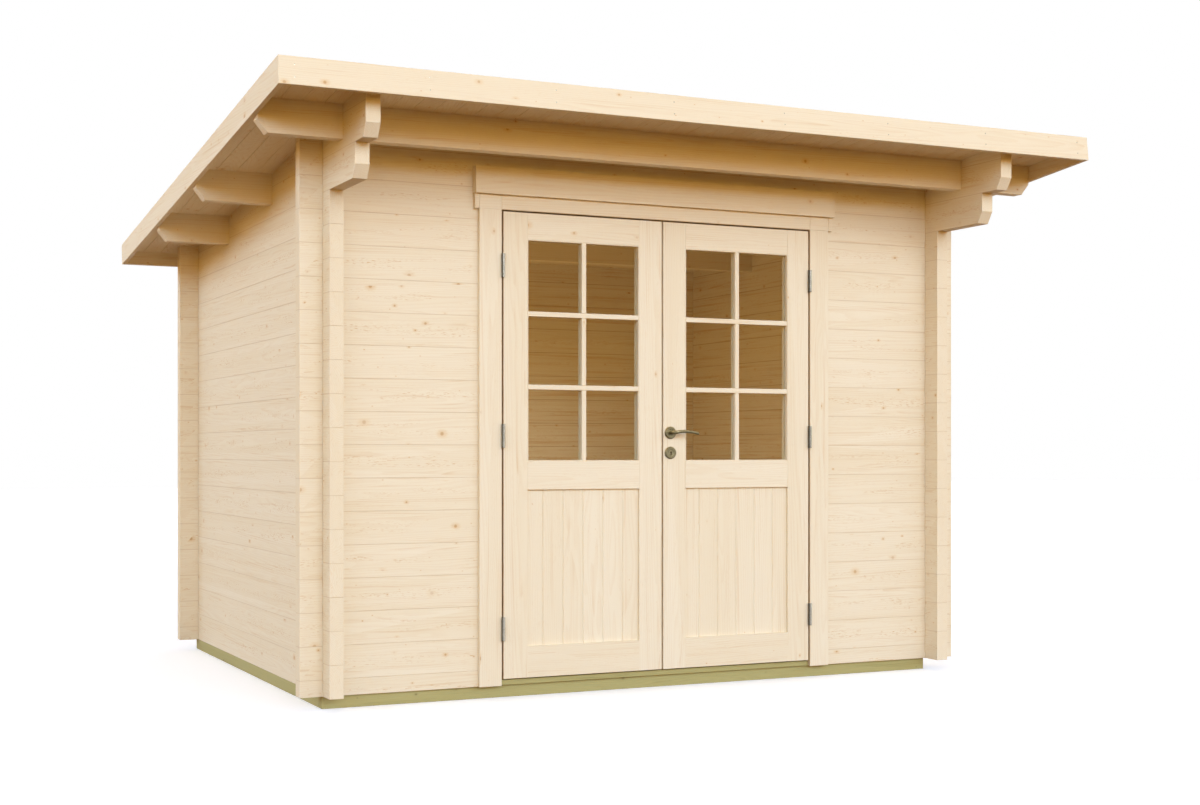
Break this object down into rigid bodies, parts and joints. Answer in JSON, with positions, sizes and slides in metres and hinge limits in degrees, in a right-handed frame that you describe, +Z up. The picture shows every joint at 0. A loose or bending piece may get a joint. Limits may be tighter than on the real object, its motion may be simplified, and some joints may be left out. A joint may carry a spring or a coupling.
{
  "type": "wooden garden shed",
  "caption": "Log-built garden shed with a pent roof over deep eaves, corbelled corners and half-glazed double doors that open outwards.",
  "frame": {"origin": "on the ground, under the middle of the roof's outline", "axes": "+X along the front, to the right for someone facing the doors; +Y from the doors to the back; +Z up"},
  "size_m": [3.708, 3.168, 2.45],
  "materials": {
    "spruce": "bare planed spruce",
    "treated_timber": "green pressure-treated softwood",
    "glass": "clear",
    "hinge_steel": "satin",
    "satin_nickel": "satin bronze-grey"
  },
  "bodies": {
    "shed": {"front_left_logs_a": "spruce", "front_left_logs_b": "spruce", "front_right_logs_a": "spruce", "front_right_logs_b": "spruce", "front_lintel_log": "spruce", "front_head_log": "spruce", "front_top_log": "spruce", "back_wall_logs_a": "spruce", "back_wall_logs_b": "spruce", "left_wall_logs_a": "spruce", "left_wall_logs_b": "spruce", "right_wall_logs_a": "spruce", "right_wall_logs_b": "spruce", "lower_corbel_logs": "spruce", "upper_corbel_logs": "spruce", "front_purlin": "spruce", "mid_purlins": "spruce", "roof_deck": "spruce", "front_fascia": "spruce", "rear_fascia": "spruce", "barge_boards": "spruce", "floor_boards": "spruce", "door_jambs": "spruce", "door_head": "spruce", "door_casings": "spruce", "head_casing": "spruce", "cornice_board": "spruce", "base_long_bearers": "treated_timber", "base_cross_bearers": "treated_timber", "door_sill": "treated_timber", "frame_hinges": "hinge_steel"},
    "left_door": {"left_leaf_stiles": "spruce", "left_leaf_rails": "spruce", "left_leaf_panel": "spruce", "left_leaf_glass": "glass", "left_leaf_hinges": "hinge_steel"},
    "right_door": {"right_leaf_stiles": "spruce", "right_leaf_rails": "spruce", "right_leaf_panel": "spruce", "right_leaf_glass": "glass", "right_leaf_hinges": "hinge_steel", "handle_roses": "satin_nickel", "key_plates": "satin_nickel"},
    "door_lever": {"lever_handle": "satin_nickel"}
  },
  "joints": [
    {"name": "left_door_swing", "type": "hinge", "parent": "shed", "child": "left_door", "pos_m": [-0.731, -0.952, 0], "axis": [0, 0, -1], "range_deg": [0, 110]},
    {"name": "right_door_swing", "type": "hinge", "parent": "shed", "child": "right_door", "pos_m": [0.781, -0.952, 0], "axis": [0, 0, 1], "range_deg": [0, 110]},
    {"name": "lever_turn", "type": "hinge", "parent": "right_door", "child": "door_lever", "pos_m": [0.063, -0.942, 1.116], "axis": [0, 1, 0], "range_deg": [0, 40], "stiffness_Nm_per_rad": 1, "springref_deg": -51.57}
  ]
}
